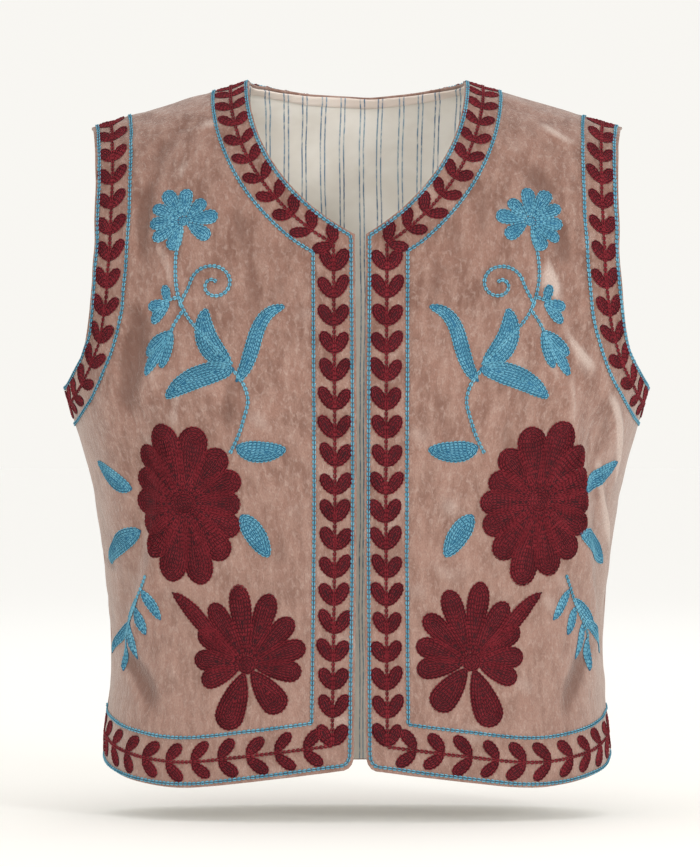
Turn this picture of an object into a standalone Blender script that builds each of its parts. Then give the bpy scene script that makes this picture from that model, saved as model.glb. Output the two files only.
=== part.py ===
"""Embroidered velvet waistcoat, hollow as it is worn: two fronts that nearly meet down the middle, a back,
a striped cotton lining in three panels and a narrow facing along the back of the neck.

Metres, +Z up. The front looks along -Y and the wearer's left is +X. The origin lies midway between the
shoulder seams, level with their middles, where the wearer's shoulders carry the garment.
"""

import math
from collections import namedtuple

import bmesh
import bpy
import numpy as np
from mathutils import Vector
from mathutils.geometry import delaunay_2d_cdt

# Shoulders and neck.
SHOULDER_TIP_X = 0.195
NECK_POINT_X = 0.0790
SHOULDER_MIDDLE_X = 0.137
SHOULDER_SLOPE = 0.30
CREST_ROUNDING = 0.02
UPPER_HALF_WIDTH = 0.235
ROLL_RISE = 0.13
ROLL_LENGTH = 0.18
NECK_CORNER_Z = -0.0995
BACK_NECK_Z = 0.0087
BACK_NECK_POWER = 1.9
FACING_WIDTH = 0.0085
FACING_DROP = 0.0058

# Girth, side seams and hem.
SQUARENESS = 0.03
UNDERARM_Z = -0.2070
HEM_CORNER_RADIUS = 0.011

# Cloth.
VELVET_THICKNESS = 0.0020
LINING_THICKNESS = 0.0010
FACING_THICKNESS = 0.0010
LAYER_GAP = 0.0004
SEAM_GAP = 0.0003

# How finely the cloth is divided: the length of a step along each edge, and between points inside a panel.
STRAIGHT_STEP = 0.024
CURVED_STEP = 0.016
INNER_STEP = 0.0235
CLEAR_OF_EDGES = 0.72
FLAT_RADIUS = 0.168
CORNER_STEPS = 3
ROUTE_SAMPLES = 160
SLOPE_STEP = 0.0005
MERGE_DISTANCE = 0.00001
FOLD_LIMIT = math.radians(83)

Section = namedtuple("Section", "height half_width front_depth back_depth")
SECTIONS = [
    Section(-0.520, 0.1880, 0.114, 0.106),
    Section(-0.460, 0.1845, 0.110, 0.101),
    Section(-0.400, 0.1803, 0.109, 0.097),
    Section(-0.340, 0.1850, 0.113, 0.099),
    Section(-0.290, 0.1922, 0.119, 0.104),
    Section(-0.245, 0.2035, 0.124, 0.109),
    Section(-0.214, 0.2126, 0.124, 0.113),
    Section(-0.180, 0.2200, 0.120, 0.115),
    Section(-0.140, 0.2290, 0.113, 0.113),
    Section(-0.090, 0.2340, 0.105, 0.108),
    Section(-0.040, 0.2350, 0.099, 0.101),
    Section(0.060, 0.2350, 0.094, 0.094),
]

HemPoint = namedtuple("HemPoint", "degrees height")
FRONT_HEM = [
    HemPoint(0, -0.4820),
    HemPoint(20, -0.4910),
    HemPoint(38, -0.4965),
    HemPoint(60, -0.4915),
    HemPoint(90, -0.4765),
]
BACK_HEM = [
    HemPoint(0, -0.4878),
    HemPoint(45, -0.4870),
    HemPoint(90, -0.4765),
]

# A fold runs from its foot to its top, with a rise on its line and a fall beside it towards the side seam.
Fold = namedtuple("Fold", "side top_degrees top_height foot_degrees foot_height bow_degrees half_width rise fall")
FRONT_FOLDS = [
    Fold(-1, 37, -0.205, 79, -0.445, -11, 0.013, 0.0050, 0.0070),
    Fold(1, 38, -0.200, 79, -0.430, -1, 0.013, 0.0050, 0.0065),
]
BACK_FOLDS = [
    Fold(-1, 46, -0.205, 72, -0.445, -5, 0.014, 0.0045, 0.0055),
    Fold(1, 43, -0.195, 74, -0.435, -3, 0.014, 0.0045, 0.0050),
]
FOLD_FADE = 3.5
HOLLOW_PLACE = 2.0
HOLLOW_SPREAD = 1.3

# Rounded fullness that the cut gives over the bust and the shoulder blades.
Fullness = namedtuple("Fullness", "degrees height radius rise")
FRONT_FULLNESS = Fullness(27, -0.205, 0.065, 0.006)
BACK_FULLNESS = Fullness(26, -0.150, 0.080, 0.004)

Face = namedtuple("Face", "way depth folds fullness hem armhole")
ArmholeCurve = namedtuple("ArmholeCurve", "tip_degrees tip_height foot_degrees")
FRONT = Face(-1, "front_depth", FRONT_FOLDS, FRONT_FULLNESS, FRONT_HEM, ArmholeCurve(47, -0.13, 50))
BACK = Face(1, "back_depth", BACK_FOLDS, BACK_FULLNESS, BACK_HEM, ArmholeCurve(49, -0.11, 55))

# The two front edges, by how far from the middle they lie at the hem, halfway up and at the neck corner.
FrontEdge = namedtuple("FrontEdge", "side at_hem at_middle at_neck")
LEFT_EDGE = FrontEdge(1, 0.0064, 0.0053, 0.0064)
RIGHT_EDGE = FrontEdge(-1, -0.0021, -0.0001, -0.0014)

# Handles of the front neckline's curve, seen from the front: across and up from the corner.
NECK_LOW_HANDLE = (0.046, -0.0755)
NECK_HIGH_HANDLE = (0.0785, -0.036)


def smooth_table(at, places, values):
    """A smooth curve through the values, with each slope taken from the neighbours on both sides."""
    places, values = np.asarray(places, float), np.asarray(values, float)
    slopes = np.gradient(values, places)
    at = np.clip(at, places[0], places[-1])
    i = np.clip(np.searchsorted(places, at) - 1, 0, len(places) - 2)
    width = places[i + 1] - places[i]
    s = (at - places[i]) / width
    rising = (3 - 2 * s) * s * s
    start = s * (1 - s) ** 2 * width * slopes[i]
    end = -s * s * (1 - s) * width * slopes[i + 1]
    return values[i] * (1 - rising) + values[i + 1] * rising + start + end


def section(height, column):
    """One column of the section table at any height."""
    return smooth_table(height, [s.height for s in SECTIONS], [getattr(s, column) for s in SECTIONS])


def crest(across):
    """Height of the shoulder line above a share of the half width."""
    x = UPPER_HALF_WIDTH * across
    return SHOULDER_SLOPE * (SHOULDER_MIDDLE_X - np.sqrt(x * x + CREST_ROUNDING**2))


def across_of(angle):
    """Share of the half width that an angle from the middle of a face reaches."""
    return (np.sin(angle) + SQUARENESS * np.sin(3 * angle)) / (1 - SQUARENESS)


def figure(face, angle, height):
    """Points of the general figure. Height is measured up the cloth, which rolls over at the shoulder."""
    across = across_of(angle)
    deep = (np.cos(angle) - SQUARENESS * np.cos(3 * angle)) / (1 - SQUARENESS)
    top = crest(across)
    turn = np.maximum(height - (top - ROLL_RISE), 0) / ROLL_LENGTH * math.pi / 2
    z = np.where(turn > 0, top - ROLL_RISE * (1 - np.sin(turn)), height)
    x = section(z, "half_width") * across
    y = face.way * section(z, face.depth) * deep * np.cos(turn)
    return np.stack([x, y, z], axis=-1)


def slopes_to_normals(face, points_of, angle, height):
    """Outward normals of a surface given as a function of angle and height."""
    along = points_of(face, angle + SLOPE_STEP, height) - points_of(face, angle - SLOPE_STEP, height)
    up = points_of(face, angle, height + SLOPE_STEP) - points_of(face, angle, height - SLOPE_STEP)
    normal = -face.way * np.cross(along, up)
    return normal / np.linalg.norm(normal, axis=-1, keepdims=True)


def fold_line(fold, height, beyond=0):
    """Angle of a fold at a height, or of a line beyond it by a number of its half widths."""
    share = np.clip((height - fold.foot_height) / (fold.top_height - fold.foot_height), 0, 1)
    line = fold.foot_degrees + (fold.top_degrees - fold.foot_degrees) * share
    line = line + fold.bow_degrees * 4 * share * (1 - share)
    return fold.side * (np.radians(line) + beyond * fold.half_width / FLAT_RADIUS)


def fold_relief(face, angle, height):
    """How far the folds and the fullness stand off the figure."""
    relief = np.zeros(np.broadcast(angle, height).shape)
    for fold in face.folds:
        share = (height - fold.foot_height) / (fold.top_height - fold.foot_height)
        beyond = fold.side * (angle - fold_line(fold, height)) * FLAT_RADIUS / fold.half_width
        fade = np.clip(FOLD_FADE * np.minimum(share, 1 - share), 0, 1)
        ridge = fold.rise * np.exp(-(beyond**2))
        hollow = fold.fall * np.exp(-(((beyond - HOLLOW_PLACE) / HOLLOW_SPREAD) ** 2))
        relief += fade * fade * (3 - 2 * fade) * (ridge - hollow)
    round_part = face.fullness
    for side in (-1, 1):
        aside = (angle - side * math.radians(round_part.degrees)) * FLAT_RADIUS
        distance = np.hypot(aside, height - round_part.height) / round_part.radius
        relief += round_part.rise * np.exp(-(distance**2))
    return relief * np.cos(angle) ** 0.5


def cloth(face, angle, height):
    """Points of the velvet's outer side."""
    relief = fold_relief(face, np.clip(angle, -math.pi / 2, math.pi / 2), height)
    base = figure(face, angle, height)
    return base + slopes_to_normals(face, figure, angle, height) * relief[..., None]


def on_face(x, z):
    """Angle and cloth height of the point that shows at x and z when seen from the front."""
    angles = np.linspace(-math.pi / 2, math.pi / 2, 721)
    angle = np.interp(x / section(z, "half_width"), across_of(angles), angles)
    top = crest(across_of(angle))
    lift = np.clip(1 - (top - z) / ROLL_RISE, 0, 1)
    rolled = top - ROLL_RISE + ROLL_LENGTH * np.arcsin(lift) / (math.pi / 2)
    return np.stack([angle, np.where(lift > 0, rolled, z)], axis=-1)


def seam_height(angle):
    """Cloth height of the shoulder seam, half a seam gap short of the crest."""
    return float(crest(across_of(angle))) - ROLL_RISE + ROLL_LENGTH - SEAM_GAP / 2


def shoulder_angle(x):
    """Angle at which the shoulder seam passes x."""
    return float(on_face(np.array(x), crest(x / UPPER_HALF_WIDTH))[0])


def bezier(points):
    """A curve of the share along it, through the first and last of its control points."""
    degree = len(points) - 1

    def route(share):
        share = np.asarray(share)[:, None]
        terms = [math.comb(degree, k) * share**k * (1 - share) ** (degree - k) for k in range(degree + 1)]
        return sum(term * np.asarray(point, float) for term, point in zip(terms, points))

    return route


def spaced(face, route, step):
    """Points along a route of angles and heights, evenly spaced on the cloth about a step apart."""
    line = route(np.linspace(0, 1, ROUTE_SAMPLES))
    steps = np.linalg.norm(np.diff(cloth(face, line[:, 0], line[:, 1]), axis=0), axis=1)
    along = np.concatenate([[0], np.cumsum(steps)])
    stops = np.linspace(0, along[-1], math.ceil(along[-1] / step) + 1)
    return np.stack([np.interp(stops, along, line[:, k]) for k in (0, 1)], axis=1)


def joined(*runs):
    """Several runs of points as one, with the shared ends kept once."""
    return np.concatenate([runs[0]] + [run[1:] for run in runs[1:]])


def hem_height(face, angle):
    """Height of the hem at an angle from the middle of a face."""
    degrees = np.degrees(np.abs(angle))
    return float(smooth_table(degrees, [p.degrees for p in face.hem], [p.height for p in face.hem]))


def hem_run(face, start, stop):
    """The hem between two angles."""

    def route(share):
        angles = start + (stop - start) * share
        return np.array([(angle, hem_height(face, angle)) for angle in angles])

    return spaced(face, route, CURVED_STEP)


def side_run(face, side):
    """The side seam and the armhole edge of a panel, from the hem to the shoulder tip."""
    seam = side * (math.pi / 2 - SEAM_GAP / 2 / section(UNDERARM_Z, face.depth))
    tip = shoulder_angle(side * SHOULDER_TIP_X)
    curve = face.armhole
    armhole = bezier(
        [
            (seam, UNDERARM_Z),
            (side * math.radians(curve.foot_degrees), UNDERARM_Z),
            (side * math.radians(curve.tip_degrees), curve.tip_height),
            (tip, seam_height(tip)),
        ]
    )
    side_seam = bezier([(seam, hem_height(face, seam)), (seam, UNDERARM_Z)])
    return joined(spaced(face, side_seam, STRAIGHT_STEP), spaced(face, armhole, CURVED_STEP))


def shoulder_run(face, from_x, to_x):
    """The shoulder seam between two distances from the middle."""

    def route(share):
        angles = shoulder_angle(from_x) + (shoulder_angle(to_x) - shoulder_angle(from_x)) * share
        return np.array([(angle, seam_height(angle)) for angle in angles])

    return spaced(face, route, STRAIGHT_STEP)


def front_outline(edge):
    """Angles and heights round one front, from its hem corner up the front edge and back along the hem."""
    corner = hem_height(FRONT, 0) + HEM_CORNER_RADIUS
    heights = [corner, (corner + NECK_CORNER_Z) / 2, NECK_CORNER_Z]
    offsets = [edge.at_hem, edge.at_middle, edge.at_neck]

    def front_edge(share):
        z = corner + (NECK_CORNER_Z - corner) * share
        return on_face(smooth_table(z, heights, offsets), z)

    neck = bezier(
        [
            (edge.at_neck, NECK_CORNER_Z),
            (edge.side * NECK_LOW_HANDLE[0], NECK_LOW_HANDLE[1]),
            (edge.side * NECK_HIGH_HANDLE[0], NECK_HIGH_HANDLE[1]),
            (edge.side * NECK_POINT_X, float(crest(NECK_POINT_X / UPPER_HALF_WIDTH))),
        ]
    )
    neck_run = spaced(FRONT, lambda share: on_face(*neck(share).T), CURVED_STEP)
    neck_run[-1, 1] = seam_height(neck_run[-1, 0])
    edge_run = spaced(FRONT, front_edge, STRAIGHT_STEP)
    side = side_run(FRONT, edge.side)
    bottom = edge_run[0]
    turn = bottom[0] + edge.side * HEM_CORNER_RADIUS / float(section(corner, "half_width"))
    turn_height = hem_height(FRONT, turn)
    rounding = bezier([(turn, turn_height), (bottom[0], turn_height), bottom])
    corner_run = rounding(np.linspace(0, 1, CORNER_STEPS + 1))
    shoulder = shoulder_run(FRONT, edge.side * NECK_POINT_X, edge.side * SHOULDER_TIP_X)
    hem = hem_run(FRONT, side[0, 0], turn)
    return joined(edge_run, neck_run, shoulder, side[::-1], hem, corner_run)[:-1]


def back_neckline(reach, drop):
    """The back neck edge, or a line that runs below it: wider by a reach at its ends and lower by a drop."""
    end = NECK_POINT_X + reach
    bottom = BACK_NECK_Z - drop
    end_z = float(crest(end / UPPER_HALF_WIDTH))

    def route(share):
        across = 2 * share - 1
        return on_face(end * across, bottom + (end_z - bottom) * np.abs(across) ** BACK_NECK_POWER)

    run = spaced(BACK, route, CURVED_STEP)
    for last in (0, -1):
        run[last] = (shoulder_angle(math.copysign(end, run[last, 0])), seam_height(run[last, 0]))
    return run


def back_outline():
    """Angles and heights round the back, from the hem at the wearer's right."""
    left, right = side_run(BACK, -1), side_run(BACK, 1)
    facing_x = NECK_POINT_X + FACING_WIDTH
    left_shoulder = [shoulder_run(BACK, -SHOULDER_TIP_X, -facing_x), shoulder_run(BACK, -facing_x, -NECK_POINT_X)]
    right_shoulder = [shoulder_run(BACK, NECK_POINT_X, facing_x), shoulder_run(BACK, facing_x, SHOULDER_TIP_X)]
    neck = back_neckline(0, 0)
    hem = hem_run(BACK, right[0, 0], left[0, 0])
    return joined(left, *left_shoulder, neck, *right_shoulder, right[::-1], hem)[:-1]


def facing_outline(lower_line):
    """Angles and heights round the facing: the neck edge, then back along its lower line."""
    return np.concatenate([back_neckline(0, 0), lower_line[::-1]])


def fold_runs(face, side):
    """Lines down the crest and the hollow of each fold on one side of a panel, clear of its edges."""
    runs = []
    for fold in face.folds:
        if fold.side == side:
            for beyond in (0, HOLLOW_PLACE):
                count = round((fold.top_height - fold.foot_height) / CURVED_STEP)
                heights = np.linspace(fold.foot_height, fold.top_height, count + 1)
                run = np.stack([fold_line(fold, heights, beyond), heights], axis=1)
                runs.append(run[np.abs(run[:, 0]) < FOLD_LIMIT])
    return runs


def divided(outline, inner_runs):
    """Angles, heights and triangles over a panel, with a regular scatter of points inside its edges."""
    count = len(outline)
    edges = [(k, (k + 1) % count) for k in range(count)]
    for run in inner_runs:
        edges += [(count + k, count + k + 1) for k in range(len(run) - 1)]
        count += len(run)
    flat = np.concatenate([outline, *inner_runs]) * (FLAT_RADIUS, 1)
    edge_points = [Vector(point) for point in flat]
    low = [min(point[axis] for point in edge_points) for axis in (0, 1)]
    high = [max(point[axis] for point in edge_points) for axis in (0, 1)]
    row_step = INNER_STEP * math.sqrt(3) / 2
    scatter = []
    for row in range(1, math.ceil((high[1] - low[1]) / row_step)):
        shift = (row % 2) / 2
        for column in range(math.ceil((high[0] - low[0]) / INNER_STEP) + 1):
            point = Vector((low[0] + (column + shift) * INNER_STEP, low[1] + row * row_step))
            if min((point - other).length for other in edge_points) > CLEAR_OF_EDGES * INNER_STEP:
                scatter.append(point)
    found = delaunay_2d_cdt(edge_points + scatter, edges, [], 1, MERGE_DISTANCE)
    points = np.array([(point.x / FLAT_RADIUS, point.y) for point in found[0]])
    return points, found[2]


def material(name, colour, roughness):
    """A plain dielectric finish."""
    finish = bpy.data.materials.new(name)
    finish.use_nodes = True
    shader = finish.node_tree.nodes["Principled BSDF"]
    shader.inputs["Base Color"].default_value = (*colour, 1)
    shader.inputs["Roughness"].default_value = roughness
    shader.inputs["Metallic"].default_value = 0
    return finish


def wall(name, face, panel, depth, thickness, finish):
    """A cloth wall over a divided panel, with its outer side at a depth under the velvet's surface."""
    (angle, height), triangles = panel[0].T, panel[1]
    outer = cloth(face, angle, height)
    normals = slopes_to_normals(face, cloth, angle, height)
    outer = outer - normals * depth
    inner = outer - normals * thickness

    bm = bmesh.new()
    thickness_of = bm.verts.layers.float_vector.new("thickness")
    corners = [bm.verts.new(point) for point in outer]
    for corner, step in zip(corners, inner - outer):
        corner[thickness_of] = step
    for triangle in triangles:
        bm.faces.new([corners[k] for k in triangle])
    bmesh.ops.delete(bm, geom=[corner for corner in corners if not corner.link_faces], context="VERTS")
    lifted = bmesh.ops.extrude_face_region(bm, geom=bm.faces[:], use_keep_orig=True)
    for corner in lifted["geom"]:
        if isinstance(corner, bmesh.types.BMVert):
            corner.co += corner[thickness_of]
    bmesh.ops.triangulate(bm, faces=bm.faces[:])
    bmesh.ops.recalc_face_normals(bm, faces=bm.faces[:])

    mesh = bpy.data.meshes.new(name)
    bm.to_mesh(mesh)
    bm.free()
    mesh.materials.append(finish)
    mesh.shade_smooth()
    bpy.context.scene.collection.objects.link(bpy.data.objects.new(name, mesh))


def main():
    for leftover in list(bpy.data.objects):
        bpy.data.objects.remove(leftover)
    velvet = material("velvet", (0.40, 0.25, 0.20), 0.85)
    striped_cotton = material("striped_cotton", (0.71, 0.66, 0.58), 0.90)
    facing_line = back_neckline(FACING_WIDTH, FACING_DROP)
    panels = {
        "left_front": (FRONT, divided(front_outline(LEFT_EDGE), fold_runs(FRONT, 1))),
        "right_front": (FRONT, divided(front_outline(RIGHT_EDGE), fold_runs(FRONT, -1))),
        "back": (BACK, divided(back_outline(), [facing_line, *fold_runs(BACK, -1), *fold_runs(BACK, 1)])),
    }
    lining_depth = VELVET_THICKNESS + LAYER_GAP
    facing_depth = lining_depth + LINING_THICKNESS + LAYER_GAP
    for name, (face, panel) in panels.items():
        wall(name, face, panel, 0, VELVET_THICKNESS, velvet)
        wall(name + "_lining", face, panel, lining_depth, LINING_THICKNESS, striped_cotton)
    facing = divided(facing_outline(facing_line), [])
    wall("back_neck_facing", BACK, facing, facing_depth, FACING_THICKNESS, striped_cotton)


main()
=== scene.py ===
"""A sleeveless waistcoat of crushed velvet, with red and blue chain stitch and a striped cotton lining.

Metres, +Z up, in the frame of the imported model: the front looks along -Y and the wearer's left is +X.
"""

import functools
import math
from collections import namedtuple

import bmesh
import bpy
import numpy as np
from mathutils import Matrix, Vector


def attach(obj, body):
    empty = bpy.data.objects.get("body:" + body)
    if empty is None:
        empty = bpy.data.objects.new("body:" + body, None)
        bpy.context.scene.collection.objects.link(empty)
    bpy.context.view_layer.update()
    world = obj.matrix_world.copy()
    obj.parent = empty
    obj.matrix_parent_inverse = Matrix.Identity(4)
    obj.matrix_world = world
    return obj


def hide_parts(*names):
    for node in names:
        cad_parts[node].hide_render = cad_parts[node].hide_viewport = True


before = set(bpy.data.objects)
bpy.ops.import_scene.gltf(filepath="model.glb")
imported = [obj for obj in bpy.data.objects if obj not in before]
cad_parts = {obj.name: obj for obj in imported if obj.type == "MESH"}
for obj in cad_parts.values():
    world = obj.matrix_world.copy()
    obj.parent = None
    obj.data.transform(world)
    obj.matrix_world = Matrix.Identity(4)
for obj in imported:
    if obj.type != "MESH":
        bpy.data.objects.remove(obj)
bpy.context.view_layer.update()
bpy.context.scene.view_settings.view_transform = "Standard"

# ---------------------------------------------------------------------------------------------------------
# Velvet panels. Two fronts and a back of crushed cotton velvet, 2 mm thick with its pile. Each is cut flat,
# laid on the form that the garment takes when it is worn, and turned under along its edges.

SHOULDER_TIP_X = 0.195
NECK_POINT_X = 0.0790
SHOULDER_MIDDLE_X = 0.137
SHOULDER_SLOPE = 0.30
CREST_ROUNDING = 0.02
UPPER_HALF_WIDTH = 0.235
ROLL_RISE = 0.13
ROLL_LENGTH = 0.18
NECK_CORNER_Z = -0.0995
BACK_NECK_Z = 0.0087
BACK_NECK_POWER = 1.9
NECK_LOW_HANDLE = (0.046, -0.0755)
NECK_HIGH_HANDLE = (0.0785, -0.036)
SQUARENESS = 0.03
UNDERARM_Z = -0.2070
HEM_CORNER_RADIUS = 0.011
SEAM_GAP = 0.0003
VELVET_THICKNESS = 0.0020
VELVET_SPACING = 0.0031
VELVET_TURN = 0.0008

# Half the girth in width and depth, front and back, at heights up the figure.
Section = namedtuple("Section", "height half_width front_depth back_depth")
SECTIONS = [
    Section(-0.520, 0.1880, 0.114, 0.106),
    Section(-0.460, 0.1845, 0.110, 0.101),
    Section(-0.400, 0.1803, 0.109, 0.097),
    Section(-0.340, 0.1850, 0.113, 0.099),
    Section(-0.290, 0.1922, 0.119, 0.104),
    Section(-0.245, 0.2035, 0.124, 0.109),
    Section(-0.214, 0.2126, 0.124, 0.113),
    Section(-0.180, 0.2200, 0.120, 0.115),
    Section(-0.140, 0.2290, 0.113, 0.113),
    Section(-0.090, 0.2340, 0.105, 0.108),
    Section(-0.040, 0.2350, 0.099, 0.101),
    Section(0.060, 0.2350, 0.094, 0.094),
]

HemPoint = namedtuple("HemPoint", "degrees height")
FRONT_HEM = [
    HemPoint(0, -0.4820),
    HemPoint(20, -0.4910),
    HemPoint(38, -0.4965),
    HemPoint(60, -0.4915),
    HemPoint(90, -0.4765),
]
BACK_HEM = [
    HemPoint(0, -0.4878),
    HemPoint(45, -0.4870),
    HemPoint(90, -0.4765),
]
ArmholeCurve = namedtuple("ArmholeCurve", "tip_degrees tip_height foot_degrees")
FrontEdge = namedtuple("FrontEdge", "side at_hem at_middle at_neck")
LEFT_EDGE = FrontEdge(1, 0.0064, 0.0053, 0.0064)
RIGHT_EDGE = FrontEdge(-1, -0.0021, -0.0001, -0.0014)

# The largest folds, each a rise on its line with a fall beside it, and the fullness that the cut gives.
Fold = namedtuple(
    "Fold", "side top_degrees top_height foot_degrees foot_height bow_degrees half_width rise fall"
)
FRONT_FOLDS = [
    Fold(-1, 37, -0.205, 79, -0.445, -11, 0.013, 0.0050, 0.0070),
    Fold(1, 38, -0.200, 79, -0.430, -1, 0.013, 0.0050, 0.0065),
]
BACK_FOLDS = [
    Fold(-1, 46, -0.205, 72, -0.445, -5, 0.014, 0.0045, 0.0055),
    Fold(1, 43, -0.195, 74, -0.435, -3, 0.014, 0.0045, 0.0050),
]
FOLD_FADE = 3.5
HOLLOW_PLACE = 2.0
HOLLOW_SPREAD = 1.3
FLAT_RADIUS = 0.168
Fullness = namedtuple("Fullness", "degrees height radius rise")

# Creases, from their top to their foot as seen from the front: a trough where the depth is above zero, and a
# ridge where it is below.
Crease = namedtuple("Crease", "top_x top_z foot_x foot_z bow half_width depth")
FRONT_CREASES = [
    Crease(-0.147, -0.056, -0.153, -0.120, -0.003, 0.0050, 0.0042),
    Crease(-0.124, -0.020, -0.147, -0.056, -0.004, 0.0065, 0.0025),
    Crease(-0.122, -0.044, -0.131, -0.064, 0.000, 0.0036, -0.0017),
    Crease(-0.143, -0.106, -0.131, -0.142, 0.002, 0.0036, -0.0016),
    Crease(-0.098, -0.014, -0.134, -0.027, 0.002, 0.0036, -0.0014),
    Crease(-0.089, -0.066, -0.083, -0.118, 0.001, 0.0050, 0.0021),
    Crease(-0.074, -0.104, -0.072, -0.170, -0.002, 0.0055, 0.0017),
    Crease(-0.058, -0.108, -0.056, -0.150, 0.001, 0.0040, 0.0014),
    Crease(-0.140, -0.163, -0.146, -0.213, -0.002, 0.0036, -0.0016),
    Crease(-0.158, -0.150, -0.168, -0.224, 0.004, 0.0100, 0.0042),
    Crease(-0.127, -0.205, -0.130, -0.236, 0.001, 0.0036, -0.0013),
    Crease(-0.091, -0.206, -0.092, -0.240, 0.001, 0.0036, 0.0020),
    Crease(-0.188, -0.334, -0.171, -0.342, 0.001, 0.0036, 0.0019),
    Crease(-0.172, -0.398, -0.146, -0.440, 0.005, 0.0090, 0.0045),
    Crease(-0.056, -0.290, -0.060, -0.350, 0.003, 0.0070, 0.0014),
    Crease(0.134, -0.017, 0.158, -0.033, -0.002, 0.0036, -0.0016),
    Crease(0.127, -0.044, 0.142, -0.070, -0.003, 0.0065, 0.0031),
    Crease(0.145, -0.086, 0.148, -0.124, 0.002, 0.0060, 0.0025),
    Crease(0.136, -0.098, 0.143, -0.150, -0.002, 0.0036, -0.0018),
    Crease(0.145, -0.158, 0.168, -0.194, -0.003, 0.0036, -0.0017),
    Crease(0.129, -0.160, 0.144, -0.208, -0.002, 0.0036, -0.0016),
    Crease(0.150, -0.200, 0.150, -0.236, 0.003, 0.0036, -0.0013),
    Crease(0.181, -0.214, 0.187, -0.280, 0.006, 0.0036, -0.0032),
    Crease(0.176, -0.264, 0.184, -0.330, -0.002, 0.0036, -0.0025),
    Crease(0.090, -0.066, 0.087, -0.116, 0.002, 0.0050, 0.0020),
    Crease(0.073, -0.084, 0.072, -0.134, -0.001, 0.0045, 0.0015),
    Crease(0.056, -0.100, 0.055, -0.152, 0.001, 0.0045, 0.0015),
    Crease(0.106, -0.226, 0.104, -0.262, 0.001, 0.0040, 0.0015),
    Crease(0.172, -0.392, 0.150, -0.446, -0.005, 0.0090, 0.0042),
]
BACK_CREASES = [
    Crease(-0.146, -0.062, -0.150, -0.134, -0.003, 0.0060, 0.0036),
    Crease(-0.112, -0.022, -0.140, -0.048, -0.003, 0.0070, 0.0024),
    Crease(-0.052, -0.020, -0.066, -0.094, 0.003, 0.0070, 0.0018),
    Crease(-0.012, -0.168, -0.016, -0.262, -0.003, 0.0080, 0.0020),
    Crease(-0.128, -0.176, -0.136, -0.226, -0.002, 0.0036, -0.0016),
    Crease(-0.158, -0.216, -0.150, -0.262, 0.002, 0.0036, -0.0020),
    Crease(-0.166, -0.330, -0.140, -0.352, 0.002, 0.0040, 0.0021),
    Crease(-0.160, -0.402, -0.138, -0.446, 0.004, 0.0090, 0.0036),
    Crease(0.142, -0.058, 0.149, -0.126, 0.003, 0.0065, 0.0034),
    Crease(0.104, -0.018, 0.136, -0.042, 0.003, 0.0060, 0.0022),
    Crease(0.060, -0.026, 0.070, -0.088, -0.002, 0.0060, 0.0017),
    Crease(0.034, -0.190, 0.040, -0.258, 0.002, 0.0070, 0.0017),
    Crease(0.132, -0.158, 0.141, -0.214, 0.002, 0.0036, -0.0016),
    Crease(0.164, -0.232, 0.154, -0.286, 0.003, 0.0036, -0.0021),
    Crease(0.158, -0.396, 0.142, -0.450, -0.004, 0.0085, 0.0036),
]

# Low waves all over, as crushed pile and an uneven hand wash leave them.
WAVE_SEED = 11
WAVE_COUNT = 22
WAVE_LENGTHS = (0.016, 0.060)
WAVE_HEIGHT = 0.00011

SLOPE_STEP = 0.0005
LOCAL_STEP = 0.002
CUT_LEVEL = -0.28
FACE_REACH = math.radians(96)
OUTLINE_STEP = 0.004
ROUTE_SAMPLES = 240
MERGE_DISTANCE = 0.0001
Turn = namedtuple("Turn", "inset drop")


def smooth_table(at, places, values):
    """A smooth curve through the values, with each slope taken from the neighbours on both sides."""
    places, values = np.asarray(places, float), np.asarray(values, float)
    slopes = np.gradient(values, places)
    at = np.clip(at, places[0], places[-1])
    i = np.clip(np.searchsorted(places, at) - 1, 0, len(places) - 2)
    width = places[i + 1] - places[i]
    s = (at - places[i]) / width
    rising = (3 - 2 * s) * s * s
    start = s * (1 - s) ** 2 * width * slopes[i]
    end = -s * s * (1 - s) * width * slopes[i + 1]
    return values[i] * (1 - rising) + values[i + 1] * rising + start + end


def section(height, column):
    """One column of the section table at any height."""
    return smooth_table(height, [s.height for s in SECTIONS], [getattr(s, column) for s in SECTIONS])


def crest(across):
    """Height of the shoulder line above a share of the half width."""
    x = UPPER_HALF_WIDTH * across
    return SHOULDER_SLOPE * (SHOULDER_MIDDLE_X - np.sqrt(x * x + CREST_ROUNDING**2))


def across_of(angle):
    """Share of the half width that an angle from the middle of a face reaches."""
    return (np.sin(angle) + SQUARENESS * np.sin(3 * angle)) / (1 - SQUARENESS)


def unit(vectors):
    """Vectors at length one."""
    return vectors / np.linalg.norm(vectors, axis=-1, keepdims=True)


def seen_at(x, z):
    """Angle and cloth height of the point that shows at x and z when seen from the front."""
    x, z = np.asarray(x, float), np.asarray(z, float)
    angles = np.linspace(-math.pi / 2, math.pi / 2, 721)
    angle = np.interp(x / section(z, "half_width"), across_of(angles), angles)
    top = crest(across_of(angle))
    lift = np.clip(1 - (top - z) / ROLL_RISE, 0, 1)
    rolled = top - ROLL_RISE + ROLL_LENGTH * np.arcsin(lift) / (math.pi / 2)
    return angle, np.where(lift > 0, rolled, z)


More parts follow.
